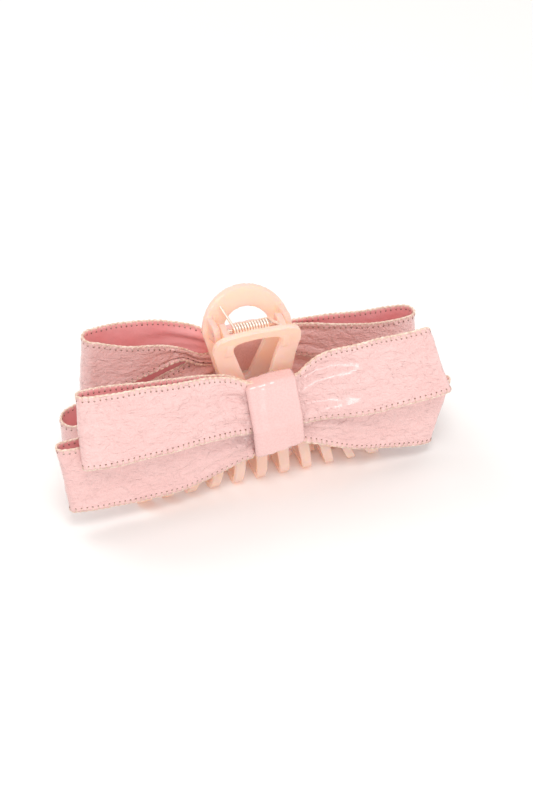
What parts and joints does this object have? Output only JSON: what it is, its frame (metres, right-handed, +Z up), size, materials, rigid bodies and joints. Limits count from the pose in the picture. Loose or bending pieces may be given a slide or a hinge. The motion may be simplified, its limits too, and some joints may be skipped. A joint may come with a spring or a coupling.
{
  "type": "bow hair claw clip",
  "caption": "Sprung hair claw clip with two toothed translucent jaws on a pin, each jaw carrying a double loop bow of crinkled ribbon.",
  "frame": {"origin": "centre of the bottom of the bounding box, on the surface that the clip stands on, under the hinge pin", "axes": "+X along the bows and the hinge pin, -Y towards the front bow, +Z up from the teeth to the levers"},
  "size_m": [0.152, 0.0527, 0.0744],
  "materials": {
    "jaw_plastic": "translucent peach, polished",
    "pin_steel": "plain drawn wire",
    "spring_steel": "plated spring wire",
    "ribbon_patent": "glossy crinkled patent leatherette",
    "wrap_patent": "glossy smooth patent leatherette",
    "edge_thread": "overlocked thread",
    "gathering_thread": "waxed thread",
    "hot_melt": "set hot-melt glue"
  },
  "bodies": {
    "rear_half": {"rear_jaw": "jaw_plastic", "hinge_pin": "pin_steel", "torsion_spring": "spring_steel", "rear_upper_ribbon": "ribbon_patent", "rear_upper_top_edge_stitching": "edge_thread", "rear_upper_bottom_edge_stitching": "edge_thread", "rear_lower_ribbon": "ribbon_patent", "rear_lower_top_edge_stitching": "edge_thread", "rear_lower_bottom_edge_stitching": "edge_thread", "rear_centre_wrap": "wrap_patent", "rear_gathering_thread": "gathering_thread", "rear_glue_pad": "hot_melt"},
    "front_half": {"front_jaw": "jaw_plastic", "front_upper_ribbon": "ribbon_patent", "front_upper_top_edge_stitching": "edge_thread", "front_upper_bottom_edge_stitching": "edge_thread", "front_lower_ribbon": "ribbon_patent", "front_lower_top_edge_stitching": "edge_thread", "front_lower_bottom_edge_stitching": "edge_thread", "front_centre_wrap": "wrap_patent", "front_gathering_thread": "gathering_thread", "front_glue_pad": "hot_melt"}
  },
  "joints": [
    {"name": "jaw_hinge", "type": "hinge", "parent": "rear_half", "child": "front_half", "pos_m": [0, 0, 0.065], "axis": [-1, 0, 0], "range_deg": [0, 60], "stiffness_Nm_per_rad": 0.14, "springref_deg": -40.11, "deforming": ["torsion_spring"]}
  ]
}
